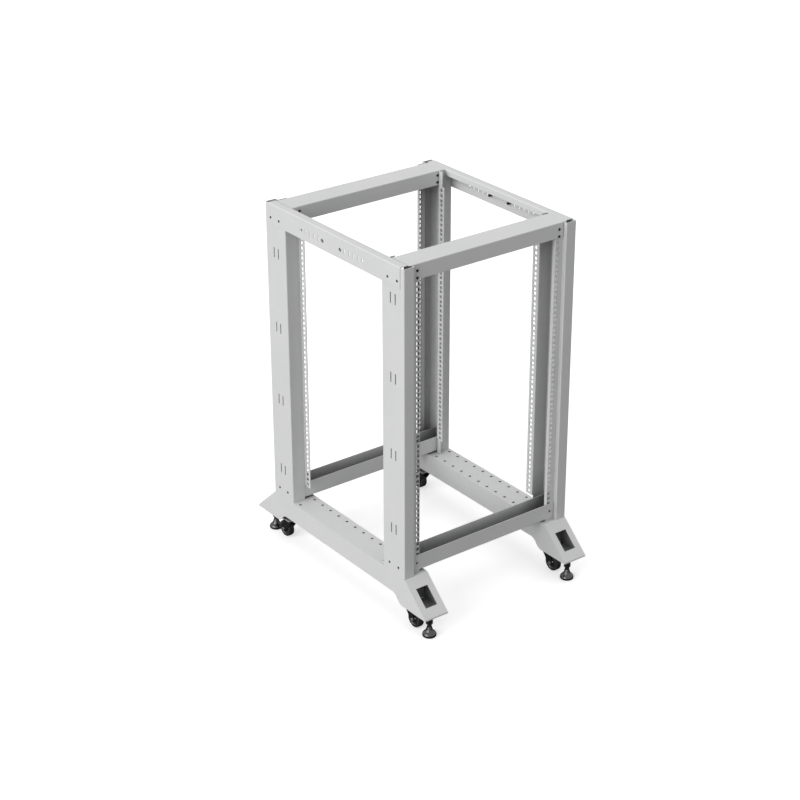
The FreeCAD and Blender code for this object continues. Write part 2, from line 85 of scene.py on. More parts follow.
CHEEK_TIP = 8.5             # radius of a fork's cheek round the axle
CROWN_REACH = 10.0          # from the swivel axis to the rounds of the fork's crown
CROWN_ROUND = 5.0
OVERCUT = 5.0               # how far a cutting shape passes what it cuts
PLATE_HALF = 25.0           # from the swivel axis to the side of a caster plate
PLATE_CORNER = 7.0
PLATE_GAUGE = 2.5
RIVET_REACH = 19.0          # from the swivel axis to the rivets, along X and Y
KINGPIN_RADIUS = 4.0
KINGPIN_SPANNER = 13.0
KINGPIN_HEAD = 2.6
RACE_GAP = 0.3              # between the fork and the race or the kingpin's head
SHEET = 1.5                 # sheet of the beams and bulkheads
FRONT_NOTCH = 12.5          # depth that the front beam's channel starts behind its wall
CHANNEL_END = 224.05        # where the bottom beams lose their channel, from the middle
CHANNEL_REACH = 276.0       # where the channel ends inside the posts
BULKHEAD_BEYOND = 10.2      # from the swivel axis outwards to a bulkhead
BULKHEAD_INSET = 5.5        # from the rail's outside to the centres of the bulkhead's corners
BULKHEAD_CORNER = 3.0
BULKHEAD_LIFT = 3.3         # from the foot plate to the centres of the lower corners
SCREW_COLUMN = 236.0        # screws of the cross beams, from the middle
FRONT_DROPS = (18.6, 38.6)  # screws of the front top beam, under the top
BACK_DROPS = (14.0, 34.6)   # screws of the back top beam, under the top
SIDE_SCREW_ROWS = (-285.0, -245.0, 245.0, 285.0)
SIDE_SCREW_DROP = 39.6      # upper side screws, under the top
LOW_SIDE_SCREW = 185.0      # lower side screws, above the floor
RIVET_NUT_ROWS = (-40.0, 40.0)
RIVET_NUT_DROP = 32.0       # rivet nuts, under the top
FLOOR_GAP = 0.4             # from the lowest point down to the studio floor

# Screw heads: radius, height and length of the cross recess, in millimetres.
BEAM_SCREW = (3.9, 2.4, 4.2)
CROSS_SCREW = (3.2, 1.8, 3.6)
SIDE_SCREW = (3.5, 1.5, 3.8)

# Studio.
FLOOR_RADIUS = 16.0         # metres
FLOOR_GLOW = 0.48           # light that the floor adds where the camera sees it
FILL = 0.47                 # strength of the light from all round
LAMPS = (("key", (-0.95, -0.06, 0.28), 2.36), ("top", (0, 0, 1), 0.5))
LAMP_SPREAD = 60            # degrees
LENS = 87.11                # millimetres, on a sensor 36 wide
CAMERA_PLACE = (-2.97797, -3.86944, 2.87006)
CAMERA_TURN = (64.0314, 0.1523, -37.0514)


# ---------------------------------------------------------------- mesh helpers
def make_piece(name, mesh_parts, body, materials):
    """One object from bmesh parts; each part is (bmesh, material index)."""
    mesh = bpy.data.meshes.new(name)
    joined = bmesh.new()
    for part, index in mesh_parts:
        for face in part.faces:
            face.material_index = index
        scratch = bpy.data.meshes.new(name + "_part")
        part.to_mesh(scratch)
        part.free()
        joined.from_mesh(scratch)
        bpy.data.meshes.remove(scratch)
    joined.to_mesh(mesh)
    joined.free()
    for material in materials:
        mesh.materials.append(material)
    piece = bpy.data.objects.new(name, mesh)
    bpy.context.scene.collection.objects.link(piece)
    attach(piece, body)
    return piece


def surface(rows, closed_ends=True, smooth=True):
    """Skin over rows of points that each go once round; the rows run from one end to the other."""
    made = bmesh.new()
    rings = [[made.verts.new(point) for point in row] for row in rows]
    for near, far in zip(rings, rings[1:]):
        count = len(near)
        for index in range(count):
            after = (index + 1) % count
            face = made.faces.new((near[index], near[after], far[after], far[index]))
            face.smooth = smooth
    if closed_ends:
        made.faces.new(rings[0][::-1])
        made.faces.new(rings[-1])
    bmesh.ops.recalc_face_normals(made, faces=made.faces)
    return made


def ring(radius, height, segments):
    """Level ring of points; radius is a number or a function of the angle."""
    points = []
    for index in range(segments):
        angle = 2 * math.pi * index / segments
        reach = radius(angle) if callable(radius) else radius
        points.append(Vector((reach * math.cos(angle), reach * math.sin(angle), height)))
    return points


def lathe(profile, segments):
    """Turned shape from (radius, height) pairs, in millimetres."""
    rows = [ring(radius * MM, height * MM, segments) for radius, height in profile]
    return surface(rows)


def closed_loop(rows):
    """Skin over rows of which the last meets the first again."""
    made = surface(rows + [rows[0]], closed_ends=False)
    bmesh.ops.remove_doubles(made, verts=made.verts, dist=MM / 1000)
    bmesh.ops.recalc_face_normals(made, faces=made.faces)
    return made


def ring_lathe(profile, segments):
    """Turned shape with a bore: the (radius, height) profile closes on itself."""
    return closed_loop([ring(radius * MM, height * MM, segments) for radius, height in profile])


def hexagon_reach(across, angle):
    """Distance from the middle of a hexagon to its side, at an angle."""
    sixth = math.pi / 3
    return across / 2 / math.cos((angle + sixth / 2) % sixth - sixth / 2)


def hex_rows(across, low, high, segments=48):
    """Rows of a hexagonal bar with its two ends turned to a cone, in millimetres."""
    steps = (0.0, 0.3, 0.6, 0.9, 1.25)
    rows = []
    heights = [(low + step, step) for step in steps]
    heights += [(high - step, step) for step in steps[::-1]]
    for height, depth in heights:
        cone = across / 2 * 0.97 + depth * 1.73

        def reach(angle, cone=cone):
            return min(hexagon_reach(across, angle), cone) * MM

        rows.append(ring(reach, height * MM, segments))
    return rows


def moved(made, matrix):
    """Move a bmesh part by a matrix and return it."""
    bmesh.ops.transform(made, matrix=matrix, verts=made.verts)
    return made


def at(x, y, z):
    """Matrix that moves by millimetres."""
    return Matrix.Translation(Vector((x, y, z)) * MM)


def towards(direction):
    """Matrix that turns +Z to a direction."""
    return Vector(direction).to_track_quat("Z", "Y").to_matrix().to_4x4()


def threaded_rod(radius, depth, pitch, low, high, segments=24):
    """Rod with a helical thread, in millimetres."""
    rows_per_turn, fade_length = 6, 1.5
    rows = []
    steps = int((high - low) / pitch * rows_per_turn)
    for step in range(steps + 1):
        height = low + (high - low) * step / steps
        fade = min(1.0, (high - height) / fade_length)

        def reach(angle, height=height, fade=fade):
            phase = (height / pitch - angle / (2 * math.pi)) % 1.0
            crest = 1 - abs(2 * phase - 1)
            return (radius - depth * (1 - crest) - (1 - fade) * depth) * MM

        rows.append(ring(reach, height * MM, segments))
    return surface(rows)


# ---------------------------------------------------------------- materials
class Nodes:
    """Short way to build a node tree of one material."""

    def __init__(self, name):
        self.material = bpy.data.materials.new(name)
        self.material.use_nodes = True
        self.tree = self.material.node_tree
        self.shader = self.tree.nodes["Principled BSDF"]
        self.place = self.add("ShaderNodeTexCoord").outputs["Object"]

    def add(self, kind, **values):
        """Add a node and set its properties."""
        node = self.tree.nodes.new(kind)
        for key, value in values.items():
            setattr(node, key, value)
        return node

    def link(self, source, target):
        self.tree.links.new(source, target)

    def noise(self, scale, detail):
        """Noise over the object's own coordinates."""
        node = self.add("ShaderNodeTexNoise")
        node.inputs["Scale"].default_value = scale
        node.inputs["Detail"].default_value = detail
        node.inputs["Roughness"].default_value = 0.5
        self.link(self.place, node.inputs["Vector"])
        return node.outputs["Fac"]

    def spread(self, source, low, high, to_low=0.0, to_high=1.0):
        """Map a value from one range to another."""
        node = self.add("ShaderNodeMapRange")
        node.inputs["From Min"].default_value = low
        node.inputs["From Max"].default_value = high
        node.inputs["To Min"].default_value = to_low
        node.inputs["To Max"].default_value = to_high
        self.link(source, node.inputs["Value"])
        return node.outputs["Result"]

    def mix(self, fac, first, second):
        """Mix two colours; each is a colour or a socket."""
        node = self.add("ShaderNodeMix", data_type="RGBA")
        self.link(fac, node.inputs["Factor"])
        for value, socket in ((first, node.inputs[6]), (second, node.inputs[7])):
            if hasattr(value, "links"):
                self.link(value, socket)
            else:
                socket.default_value = (*value, 1.0)
        return node.outputs[2]

    def edges(self, radius):
        """Rounded normal and a mask that is 1 on sharp edges."""
        bevel = self.add("ShaderNodeBevel", samples=4)
        bevel.inputs["Radius"].default_value = radius
        geometry = self.add("ShaderNodeNewGeometry")
        dot = self.add("ShaderNodeVectorMath", operation="DOT_PRODUCT")
        self.link(bevel.outputs["Normal"], dot.inputs[0])
        self.link(geometry.outputs["Normal"], dot.inputs[1])
        return bevel.outputs["Normal"], self.spread(dot.outputs["Value"], 0.995, 0.85)

    def painted_shade(self, reach):
        """Painted shade: mask from ambient occlusion that is 1 deep in folds and box sections and
        0 on open sheet.
        """
        shade = self.add("ShaderNodeAmbientOcclusion", samples=6)
        shade.inputs["Distance"].default_value = reach
        return self.spread(shade.outputs["AO"], 0.60, 0.10)

    def bump(self, height, strength, distance, normal=None):
        """Bump over an optional rounded normal, into the shader."""
        node = self.add("ShaderNodeBump")
        node.inputs["Strength"].default_value = strength
        node.inputs["Distance"].default_value = distance
        self.link(height, node.inputs["Height"])
        if normal:
            self.link(normal, node.inputs["Normal"])
        self.link(node.outputs["Normal"], self.shader.inputs["Normal"])


def paint_material(name, depth):
    """Light grey powder coat: fine orange peel, faint cloudiness, a painted highlight along sharp
    edges and painted shade deep in folds.

    depth, from 0 to 1, is how far the painted shade darkens the colour deep in folds.
    """
    made = Nodes(name)
    cloud = made.noise(9.0, 3.0)
    fine = made.noise(1400.0, 2.0)
    peel = made.noise(520.0, 1.0)
    normal, edge = made.edges(0.0006)
    tint = made.mix(made.spread(cloud, 0.35, 0.65), (0.725, 0.730, 0.730), (0.750, 0.753, 0.750))
    grain = made.mix(made.spread(fine, 0.3, 0.7, 0.0, 0.35), tint, (0.66, 0.665, 0.67))
    # Painted highlight: the coat is drawn lighter along sharp edges and bends.
    wear_and_highlight = made.mix(made.spread(edge, 0.0, 1.0, 0.0, 0.35), grain, (0.84, 0.84, 0.83))
    # Painted shade: the colour goes towards near black deep in folds and box sections, as far as
    # depth allows.
    shade_mask = made.spread(made.painted_shade(0.12), 0.0, 1.0, 0.0, depth)
    shaded_coat = made.mix(shade_mask, wear_and_highlight, (0.09, 0.091, 0.094))
    made.link(shaded_coat, made.shader.inputs["Base Color"])
    made.link(made.spread(peel, 0.3, 0.7, 0.44, 0.58), made.shader.inputs["Roughness"])
    made.shader.inputs["Specular IOR Level"].default_value = 0.25
    made.bump(peel, 0.25, 0.00025, normal)
    return made.material


def black_steel_material():
    """Blackened steel of forks, plates and screws, rubbed bright on edges."""
    made = Nodes("blackened_steel")
    cloud = made.noise(60.0, 3.0)
    fine = made.noise(1800.0, 2.0)
    normal, edge = made.edges(0.0004)
    tint = made.mix(made.spread(cloud, 0.35, 0.65), (0.022, 0.022, 0.023), (0.036, 0.036, 0.037))
    wear_and_highlight = made.mix(made.spread(edge, 0.2, 1.0, 0.0, 0.6), tint, (0.16, 0.16, 0.165))
    made.link(wear_and_highlight, made.shader.inputs["Base Color"])
    made.link(made.spread(cloud, 0.3, 0.7, 0.30, 0.44), made.shader.inputs["Roughness"])
    made.shader.inputs["Metallic"].default_value = 0.55
    made.bump(fine, 0.15, 0.0001, normal)
    return made.material


def zinc_material():
    """Zinc plated steel of nuts and studs, with the passivation's faint blotches."""
    made = Nodes("zinc_plate")
    cloud = made.noise(140.0, 4.0)
    fine = made.noise(2200.0, 2.0)
    tint = made.mix(made.spread(cloud, 0.35, 0.65), (0.36, 0.37, 0.38), (0.50, 0.50, 0.49))
    made.link(tint, made.shader.inputs["Base Color"])
    made.link(made.spread(cloud, 0.3, 0.7, 0.28, 0.45), made.shader.inputs["Roughness"])
    made.shader.inputs["Metallic"].default_value = 0.9
    made.bump(fine, 0.1, 0.0001)
    return made.material


def caster_plate_material():
    """Dull plated steel of the caster plates, a little streaked."""
    made = Nodes("dull_plate")
    cloud = made.noise(70.0, 4.0)
    fine = made.noise(1700.0, 2.0)
    normal, edge = made.edges(0.0004)
    tint = made.mix(made.spread(cloud, 0.35, 0.65), (0.085, 0.085, 0.09), (0.13, 0.13, 0.13))
    wear_and_highlight = made.mix(made.spread(edge, 0.2, 1.0, 0.0, 0.6), tint, (0.42, 0.42, 0.42))
    made.link(wear_and_highlight, made.shader.inputs["Base Color"])
    made.link(made.spread(cloud, 0.3, 0.7, 0.36, 0.50), made.shader.inputs["Roughness"])
    made.shader.inputs["Metallic"].default_value = 0.6
    made.bump(fine, 0.12, 0.0001, normal)
    return made.material


def moulded_material(name, dark, light, rough, gloss):
    """Black moulded plastic or rubber: fine texture and a little dust in the cloud."""
    made = Nodes(name)
    cloud = made.noise(90.0, 3.0)
    fine = made.noise(1500.0, 3.0)
    tint = made.mix(made.spread(cloud, 0.35, 0.7), dark, light)
    made.link(tint, made.shader.inputs["Base Color"])
    made.link(made.spread(fine, 0.3, 0.7, rough[0], rough[1]), made.shader.inputs["Roughness"])
    made.shader.inputs["Specular IOR Level"].default_value = gloss
    made.bump(fine, 0.2, 0.00015)
    return made.material


# The rack's powder coat with painted shade in its folds, and a copy with deeper painted shade for
# the bottom beams' channels.
PAINT = paint_material("rack_powder_coat", 0.70)
DEEP_SHADE_PAINT = paint_material("powder_coat_deep_painted_shade", 1.0)
STEEL = black_steel_material()
ZINC = zinc_material()
PLATE = caster_plate_material()
PLASTIC = moulded_material(
    "black_plastic", (0.012, 0.012, 0.013), (0.022, 0.022, 0.023), (0.10, 0.20), 1.0
)
RUBBER = moulded_material(
    "black_rubber", (0.016, 0.016, 0.016), (0.030, 0.030, 0.029), (0.55, 0.72), 0.4
)


def finish_nodes():
    """Give every node of the frame its material."""
    finishes = {
        "post": PAINT,
        "top_beam": PAINT,
        # bottom beams: the copy of the powder coat with deeper painted shade
        "bottom_beam": DEEP_SHADE_PAINT,
        "base_rail": PAINT,
        "foot_plate": PAINT,
        "caster_plate": PLATE,
        "caster_fork": STEEL,
        "caster_wheel": RUBBER,
        "leveler_foot": PLASTIC,
    }
    for name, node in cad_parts.items():
        finish = next(value for key, value in finishes.items() if name.startswith(key))
        node.data.materials.clear()
        node.data.materials.append(finish)


# ---------------------------------------------------------------- feet and wheels
def middle_of(node):
    """Middle (X, Y) of a node of the frame and its lowest Z, in millimetres."""
    low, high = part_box(node)
    return (low.x + high.x) / 2 / MM, (low.y + high.y) / 2 / MM, low.z / MM


def foot_profile():
    """Bell of a levelling foot: rounded pad, flared shoulder and slim neck, from the floor up."""
    return [
        (16.6, 0.0), (18.2, 0.4), (19.1, 1.5), (19.5, 3.2), (19.5, 5.2), (19.1, 7.4),
        (18.2, 9.4), (16.8, 11.2), (14.9, 12.9), (12.8, 14.8), (11.0, 17.0), (9.7, 19.6),
        (8.8, 22.4), (8.0, 25.2), (7.2, 27.6), (6.5, 29.6), (6.1, 32.0), (6.0, 34.4),
        (6.2, 36.2), (6.8, 37.2),
    ]


def make_feet():
    """Levelling feet: bell, hexagon and threaded stud."""
    for corner in CORNERS:
        node = "leveler_foot_" + corner
        x, y, floor = middle_of(node)
        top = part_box(node)[1].z / MM
        pad = moved(lathe(foot_profile(), 64), at(x, y, floor))
        spanner = moved(surface(hex_rows(SPANNER, *FLATS), smooth=False), at(x, y, floor))
        thread = threaded_rod(STUD_RADIUS, THREAD_DEPTH, THREAD_PITCH, FLATS[1], top - floor)
        parts = [(pad, 0), (spanner, 1), (moved(thread, at(x, y, floor)), 1)]
        body = "leveler_" + corner
        finishes = [PLASTIC, STEEL]
        piece = make_piece("levelling_foot_" + corner, parts, body, finishes)
        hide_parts(node)


def lock_nut(x, y, low, high):
    """Hexagon nut with a bore, in millimetres."""
    mouth, bore, ease = 5.9, 5.3, 0.4
    inside = [(mouth, high), (bore, high - ease), (bore, low + ease)]
    rows = [ring(mouth * MM, low * MM, 48)] + hex_rows(SPANNER, low, high)
    rows += [ring(radius * MM, height * MM, 48) for radius, height in inside]
    return moved(closed_loop(rows), at(x, y, 0))


def washer(x, y, low, high):
    """Flat washer with eased edges, in millimetres."""
    bore, flat, rim, ease = 5.5, 9.9, 10.3, 0.3
    profile = [
        (bore, low), (flat, low), (rim, low + ease),
        (rim, high - ease), (flat, high), (bore, high),
    ]
    return moved(ring_lathe(profile, 40), at(x, y, 0))


def make_lock_nuts():
    """Nut and washer that lock each stud against its foot plate."""
    parts = []
    for corner in CORNERS:
        x, y, _ = middle_of("leveler_foot_" + corner)
        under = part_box("foot_plate_" + corner)[0].z / MM
        seat = under - WASHER_GAUGE
        parts.append((washer(x, y, seat, under - SEAT_GAP), 0))
        parts.append((lock_nut(x, y, seat - NUT_HEIGHT, seat - SEAT_GAP), 0))
    make_piece("lock_nuts", parts, "frame", [STEEL])


def wheel_profile(radius, half, bore):
    """Profile (radius, height) of a wheel: hub, hollow disc and rounded tyre."""
    shoulder = 3.2
    tyre = []
    steps = 6
    for step in range(steps + 1):
        angle = math.pi / 2 * step / steps
        tyre.append((
            radius - shoulder + shoulder * math.sin(angle),
            half - 0.6 - shoulder + shoulder * math.cos(angle),
        ))
    disc = [
        (bore, half),
        (6.6, half),
        (7.2, half - 0.5),
        (7.8, half - 2.4),
        (15.2, half - 2.9),
        (16.4, half - 0.7),
        (17.0, half - 0.6),
    ]
    side = disc + tyre
    crown = [(radius, 0.0)]
    return side + crown + [(r, -h) for r, h in side[::-1]]


def make_wheels():
    """Caster wheels with a hub and a rounded tyre."""
    for corner in CORNERS:
        node = "caster_wheel_" + corner
        low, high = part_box(node)
        centre = (low + high) / 2
        radius = (high.z - low.z) / 2 / MM
        half = (high.x - low.x) / 2 / MM
        wheel = ring_lathe(wheel_profile(radius, half, WHEEL_BORE), 72)
        cores = []
        for face in wheel.faces:
            middle = face.calc_center_median()
            cores.append(math.hypot(middle.x, middle.y) < TYRE_START * MM)
        parts = [(moved(wheel, Matrix.Translation(centre) @ towards((1, 0, 0))), 0)]
        name = "wheel_" + corner
        piece = make_piece(name, parts, name, [RUBBER, PLASTIC])
        for polygon, core in zip(piece.data.polygons, cores):
            polygon.material_index = int(core)
        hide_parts(node)


def hull(points):
    """Corners of the convex outline round some flat points, anticlockwise."""
    ordered = sorted(set(points))
    outline = []
    for run in (ordered, ordered[::-1]):
        side = []
        for point in run:
            while len(side) > 1 and turn(side[-2], side[-1], point) <= 0:
                side.pop()
            side.append(point)
        outline += side[:-1]
    return outline


def turn(first, second, third):
    """Positive where three flat points turn to the left."""
    ahead = (second[0] - first[0], second[1] - first[1])
    beyond = (third[0] - first[0], third[1] - first[1])
    return ahead[0] * beyond[1] - ahead[1] * beyond[0]


def around(circles, count=28):
    """Outline round several circles, each (across, up, radius) in millimetres."""
    points = []
    for across, up, radius in circles:
        for index in range(count):
            angle = 2 * math.pi * index / count
            point = (across + radius * math.cos(angle), up + radius * math.sin(angle))
            points.append((round(point[0], 4), round(point[1], 4)))
    return hull(points)


def prism(outline, low, high, place):
    """Solid between two copies of an outline; place gives the point for (across, up, depth)."""
    rows = [[place(a, b, depth) * MM for a, b in outline] for depth in (low, high)]
    return surface(rows, smooth=False)


def along_y(a, b, depth):
    """Point of an outline in the XZ plane, pushed along Y."""
    return Vector((a, depth, b))


def along_x(a, b, depth):
    """Point of an outline in the YZ plane, pushed along X."""
    return Vector((depth, a, b))


def along_z(a, b, depth):
    """Point of an outline in the XY plane, pushed along Z."""
    return Vector((a, b, depth))


def combined(first, second, operation):
    """Boolean of two bmesh parts, as a new mesh."""
    scratch = []
    for part in (first, second):
        mesh = bpy.data.meshes.new("scratch")
        part.to_mesh(mesh)
        part.free()
        scratch.append(bpy.data.objects.new("scratch", mesh))
        bpy.context.scene.collection.objects.link(scratch[-1])
    cut = scratch[0].modifiers.new("combine", "BOOLEAN")
    cut.operation = operation
    cut.solver = "EXACT"
    cut.use_self = True
    cut.object = scratch[1]
    evaluated = scratch[0].evaluated_get(bpy.context.evaluated_depsgraph_get())
    result = bpy.data.meshes.new_from_object(evaluated)
    for piece in scratch:
        bpy.data.objects.remove(piece)
    return result


def from_mesh(mesh):
    """Fresh bmesh part with the faces of a mesh."""
    made = bmesh.new()
    made.from_mesh(mesh)
    return made


def fork_parts(axle, swivel, top, half):
    """Pressed fork: rounded cheeks under a flat crown, and the axle bolt with its nut."""
    x, y, z = axle
    inner_bend = FORK_BEND - FORK_GAUGE
    sheets = []
    for reach, crown, bend, foot in (
        (half, top, FORK_BEND, z - BLANK_DROP),
        (half - FORK_GAUGE, top - FORK_GAUGE, inner_bend, z - 2 * BLANK_DROP),
    ):
        sheets.append(around([
            (x - reach + bend, crown - bend, bend), (x + reach - bend, crown - bend, bend),
            (x - reach + bend, foot, bend), (x + reach - bend, foot, bend),
        ]))
    outer, inner = sheets
    crown_row = top - CROWN_ROUND
    cheek = around([
        (y, z, CHEEK_TIP),
        (swivel - CROWN_REACH, crown_row, CROWN_ROUND),
        (swivel + CROWN_REACH, crown_row, CROWN_ROUND),
    ])
    low, high = min(y, swivel) - BLANK_REACH, max(y, swivel) + BLANK_REACH
    cut = prism(inner, low - OVERCUT, high + OVERCUT, along_y)
    sheet = combined(prism(outer, low, high, along_y), cut, "DIFFERENCE")
    keep = prism(cheek, x - half - OVERCUT, x + half + OVERCUT, along_x)
    parts = [(from_mesh(combined(from_mesh(sheet), keep, "INTERSECT")), 0)]
    axle_bolt = lathe([(AXLE_RADIUS, -half), (AXLE_RADIUS, half)], 24)
    parts.append((moved(axle_bolt, at(x, y, z) @ towards((1, 0, 0))), 1))
    for side in (-1, 1):
        head = surface(hex_rows(AXLE_SPANNER, half, half + AXLE_HEAD), smooth=False)
        parts.append((moved(head, at(x, y, z) @ towards((side, 0, 0))), 1))
    return parts


def make_casters():
    """Forks and mounting plates of the casters."""
    for corner in CORNERS:
        wheel_low, wheel_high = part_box("caster_wheel_" + corner)
        axle = (wheel_low + wheel_high) / 2 / MM
        low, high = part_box("caster_fork_" + corner)
        half = (high.x - low.x) / 2 / MM - AXLE_HEAD
        x, y, _ = middle_of("caster_plate_" + corner)
        name = "caster_bracket_" + corner
        parts = fork_parts(tuple(axle), y, high.z / MM, half)
        fork = make_piece(name, parts, "fork_" + corner, [STEEL, ZINC])
        ease = fork.modifiers.new("ease", "BEVEL")
        ease.width = FORK_EASE * MM
        ease.segments = 2
        ease.limit_method = "ANGLE"
        ease.angle_limit = math.radians(50)
        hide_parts("caster_fork_" + corner)

        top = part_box("caster_plate_" + corner)[1].z / MM
        under = top - PLATE_GAUGE
        fork_top = high.z / MM
        reach = PLATE_HALF - PLATE_CORNER
        corners = [(x + a * reach, y + b * reach, PLATE_CORNER) for a in (-1, 1) for b in (-1, 1)]
        parts = [(prism(around(corners), under, top, along_z), 0)]
        race = [
            (12.2, fork_top + RACE_GAP), (13.4, fork_top + 0.7), (14.0, fork_top + 1.6),
            (14.0, under - 1.4), (14.6, under - 0.5), (15.2, under),
        ]
        parts.append((moved(lathe(race, 48), at(x, y, 0)), 0))
        foot = fork_top - FORK_GAUGE - RACE_GAP
        pin = lathe([(KINGPIN_RADIUS, foot), (KINGPIN_RADIUS, under)], 24)
        head = surface(hex_rows(KINGPIN_SPANNER, foot - KINGPIN_HEAD, foot), smooth=False)
        parts += [(moved(pin, at(x, y, 0)), 1), (moved(head, at(x, y, 0)), 1)]
        name = "swivel_plate_" + corner
        plate = make_piece(name, parts, "frame", [PLATE, ZINC])
        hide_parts("caster_plate_" + corner)


# ---------------------------------------------------------------- sheet inside the posts and feet
def make_beam_ends():
    """The bottom beams' channel carried on inside the posts, past the beams' cut ends."""
    parts = []
    for node, notch in (("bottom_beam_front", FRONT_NOTCH), ("bottom_beam_back", SHEET)):
        low, high = (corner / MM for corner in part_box(node))
        near, far = low.y + notch, high.y
        section = [
            (near, low.z), (far, low.z), (far, high.z),
            (far - SHEET, high.z), (far - SHEET, low.z + SHEET), (near, low.z + SHEET),
        ]
        for side in (-1, 1):
            start, end = sorted((side * CHANNEL_END, side * CHANNEL_REACH))
            parts.append((prism(section, start, end, along_x), 0))
    # Same copy of the powder coat with deeper painted shade as the bottom beams.
    make_piece("beam_ends", parts, "frame", [DEEP_SHADE_PAINT])


def make_bulkheads():
    """Upright plate inside each foot, which closes the view through the foot's window, so that the
    window shows a shaded inside instead of the floor.
    """
    parts = []
    for corner in CORNERS:
        rail = "base_rail_" + corner.split("_")[1]
        low, high = (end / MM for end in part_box(rail))
        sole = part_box("foot_plate_" + corner)[1].z / MM
        _, swivel, _ = middle_of("caster_plate_" + corner)
        y = swivel + math.copysign(BULKHEAD_BEYOND, swivel)
        outline = around([
            (x, z, BULKHEAD_CORNER)
            for z in (sole + BULKHEAD_LIFT, high.z - BULKHEAD_INSET)
            for x in (low.x + BULKHEAD_INSET, high.x - BULKHEAD_INSET)
        ])
        parts.append((prism(outline, y - SHEET / 2, y + SHEET / 2, along_y), 0))
    make_piece("foot_bulkheads", parts, "frame", [PAINT])


# ---------------------------------------------------------------- fasteners
def screw_head(radius, height, recess):
    """Domed screw head on the XY plane, rising along +Z, with a cross recess."""
    profile = [(radius, 0.0), (radius, height * 0.22)]
    steps = 7
    for step in range(1, steps + 1):
        angle = math.pi / 2 * step / steps
        profile.append((
            max(radius * math.cos(angle) ** 0.75, 0.15),
            height * (0.22 + 0.78 * math.sin(angle)),
        ))
    cross = bmesh.new()
    for size in ((recess, recess * 0.26), (recess * 0.26, recess)):
        bar = bmesh.ops.create_cube(cross, size=1.0)["verts"]
        scale = Matrix.Diagonal((size[0] * MM, size[1] * MM, height * MM, 1))
        bmesh.ops.transform(cross, matrix=at(0, 0, height) @ scale, verts=bar)
    return combined(lathe(profile, 32), cross, "DIFFERENCE")


def place_screws(name, head, places, finish):
    """Copies of one screw head, each at a point (mm) and facing a direction."""
    parts = []
    for point, direction in places:
        parts.append((moved(from_mesh(head), at(*point) @ towards(direction)), 0))
    make_piece(name, parts, "frame", [finish])


def make_screws():
    """Screws at the cross beams' ends and through the sides of the posts."""
    top_low, top_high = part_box("top_beam_front")
    front = top_low.y / MM
    top = top_high.z / MM
    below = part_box("bottom_beam_front")
    cross = (below[0].z + below[1].z) / 2 / MM
    back_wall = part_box("top_beam_back")[0].y / MM
    upper = []
    for side in (-1, 1):
        for y, drops in ((front, FRONT_DROPS), (back_wall, BACK_DROPS)):
            for drop in drops:
                upper.append(((side * SCREW_COLUMN, y, top - drop), (0, -1, 0)))
    place_screws("beam_screws", screw_head(*BEAM_SCREW), upper, STEEL)

    lower = [((side * SCREW_COLUMN, front, cross), (0, -1, 0)) for side in (-1, 1)]
    place_screws("cross_screws", screw_head(*CROSS_SCREW), lower, PLATE)

    beam_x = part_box("top_beam_right")[1].x / MM
    post_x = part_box("post_front_right")[1].x / MM
    sides = []
    for side in (-1, 1):
        for y in SIDE_SCREW_ROWS:
            sides.append(((side * beam_x, y, top - SIDE_SCREW_DROP), (side, 0, 0)))
            sides.append(((side * post_x, y, LOW_SIDE_SCREW), (side, 0, 0)))
    place_screws("side_screws", screw_head(*SIDE_SCREW), sides, STEEL)


def make_rivet_nuts():
    """Rivet nuts in the two middle holes of each side beam: flange outside, barrel inside."""
    flange = [(2.6, 0.9), (5.0, 0.9), (5.3, 0.6), (5.3, 0.05), (2.6, 0.05)]
    barrel = [
        (2.6, 0.0), (3.4, 0.0), (3.4, -7.6), (4.3, -8.0),
        (4.3, -8.8), (3.4, -9.2), (3.4, -11.0), (2.6, -11.0),
    ]
    parts = []
    for side, node in ((-1, "top_beam_left"), (1, "top_beam_right")):
        low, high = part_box(node)
        face = (low if side < 0 else high).x / MM
        row = high.z / MM - RIVET_NUT_DROP
        for y in RIVET_NUT_ROWS:
            place = at(face, y, row) @ towards((side, 0, 0))
            parts.append((moved(ring_lathe(flange, 32), place), 0))
            parts.append((moved(ring_lathe(barrel, 32), place), 1))
    make_piece("rivet_nuts", parts, "frame", [ZINC, STEEL])


def make_rivets():
    """Rivets that hold each caster plate under its foot plate."""
    parts = []
    dome = [(3.4, 0.0), (3.3, 0.5), (2.8, 1.0), (1.9, 1.35), (0.9, 1.5), (0.1, 1.55)]
    for corner in CORNERS:
        x, y, _ = middle_of("caster_plate_" + corner)
        plate_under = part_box("foot_plate_" + corner)[0].z / MM - PLATE_GAUGE
        for across in (-RIVET_REACH, RIVET_REACH):
            for along in (-RIVET_REACH, RIVET_REACH):
                place = at(x + across, y + along, plate_under) @ towards((0, 0, -1))
                parts.append((moved(lathe(dome, 20), place), 0))
    make_piece("caster_rivets", parts, "frame", [STEEL])


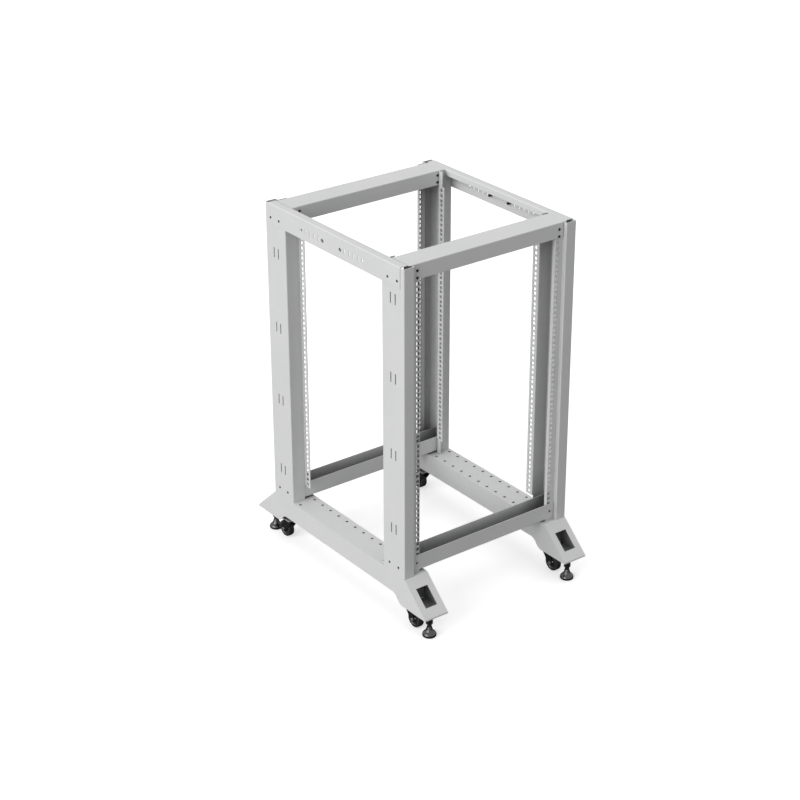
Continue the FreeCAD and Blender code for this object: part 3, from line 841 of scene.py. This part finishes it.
# ---------------------------------------------------------------- studio
def make_floor():
    """Pale round floor; seen directly it is white apart from the object's shadow."""
    made = bmesh.new()
    bmesh.ops.create_circle(made, cap_ends=True, segments=96, radius=FLOOR_RADIUS)
    mesh = bpy.data.meshes.new("floor")
    made.to_mesh(mesh)
    made.free()
    floor = bpy.data.objects.new("studio_floor", mesh)
    floor.location.z = cad_box[0].z - FLOOR_GAP * MM
    bpy.context.scene.collection.objects.link(floor)

    material = bpy.data.materials.new("studio_floor")
    material.use_nodes = True
    tree = material.node_tree
    tree.nodes.clear()
    output = tree.nodes.new("ShaderNodeOutputMaterial")
    path = tree.nodes.new("ShaderNodeLightPath")
    seen = tree.nodes.new("ShaderNodeAddShader")
    pale = tree.nodes.new("ShaderNodeBsdfDiffuse")
    pale.inputs["Color"].default_value = (0.9, 0.9, 0.9, 1)
    glow = tree.nodes.new("ShaderNodeEmission")
    glow.inputs["Strength"].default_value = FLOOR_GLOW
    grey = tree.nodes.new("ShaderNodeBsdfDiffuse")
    grey.inputs["Color"].default_value = (0.12, 0.12, 0.12, 1)
    choose = tree.nodes.new("ShaderNodeMixShader")
    tree.links.new(pale.outputs[0], seen.inputs[0])
    tree.links.new(glow.outputs[0], seen.inputs[1])
    tree.links.new(path.outputs["Is Camera Ray"], choose.inputs[0])
    tree.links.new(grey.outputs[0], choose.inputs[1])
    tree.links.new(seen.outputs[0], choose.inputs[2])
    tree.links.new(choose.outputs[0], output.inputs["Surface"])
    mesh.materials.append(material)


def make_world():
    """Soft fill from all round; white where the camera or a reflection sees it."""
    world = bpy.data.worlds.new("studio")
    bpy.context.scene.world = world
    world.use_nodes = True
    tree = world.node_tree
    tree.nodes.clear()
    output = tree.nodes.new("ShaderNodeOutputWorld")
    path = tree.nodes.new("ShaderNodeLightPath")
    fill = tree.nodes.new("ShaderNodeBackground")
    fill.inputs["Strength"].default_value = FILL
    white = tree.nodes.new("ShaderNodeBackground")
    either = tree.nodes.new("ShaderNodeMath")
    also = tree.nodes.new("ShaderNodeMath")
    for light in (fill, white):
        light.inputs["Color"].default_value = (1, 1, 1, 1)
    for greater in (either, also):
        greater.operation = "MAXIMUM"
    choose = tree.nodes.new("ShaderNodeMixShader")
    tree.links.new(path.outputs["Is Camera Ray"], either.inputs[0])
    tree.links.new(path.outputs["Is Glossy Ray"], either.inputs[1])
    tree.links.new(either.outputs[0], also.inputs[0])
    tree.links.new(path.outputs["Is Transmission Ray"], also.inputs[1])
    tree.links.new(also.outputs[0], choose.inputs[0])
    tree.links.new(fill.outputs[0], choose.inputs[1])
    tree.links.new(white.outputs[0], choose.inputs[2])
    tree.links.new(choose.outputs[0], output.inputs["Surface"])


def make_lamps():
    """Two wide soft lamps: the key from the left, a weaker one from straight above."""
    for name, direction, energy in LAMPS:
        data = bpy.data.lights.new(name, "SUN")
        data.energy = energy
        data.angle = math.radians(LAMP_SPREAD)
        lamp = bpy.data.objects.new(name, data)
        lamp.rotation_mode = "QUATERNION"
        lamp.rotation_quaternion = Vector(direction).to_track_quat("Z", "Y")
        bpy.context.scene.collection.objects.link(lamp)


def make_camera():
    """Camera from the front left, 26 degrees above the horizon."""
    data = bpy.data.cameras.new("camera")
    data.sensor_width = 36.0
    data.lens = LENS
    data.clip_end = 60.0
    camera = bpy.data.objects.new("camera", data)
    camera.location = CAMERA_PLACE
    camera.rotation_euler = [math.radians(angle) for angle in CAMERA_TURN]
    bpy.context.scene.collection.objects.link(camera)
    bpy.context.scene.camera = camera


finish_nodes()
make_feet()
make_lock_nuts()
make_wheels()
make_casters()
make_beam_ends()
make_bulkheads()
make_screws()
make_rivet_nuts()
make_rivets()
make_floor()
make_world()
make_lamps()
make_camera()
bpy.context.scene.view_settings.view_transform = "Standard"
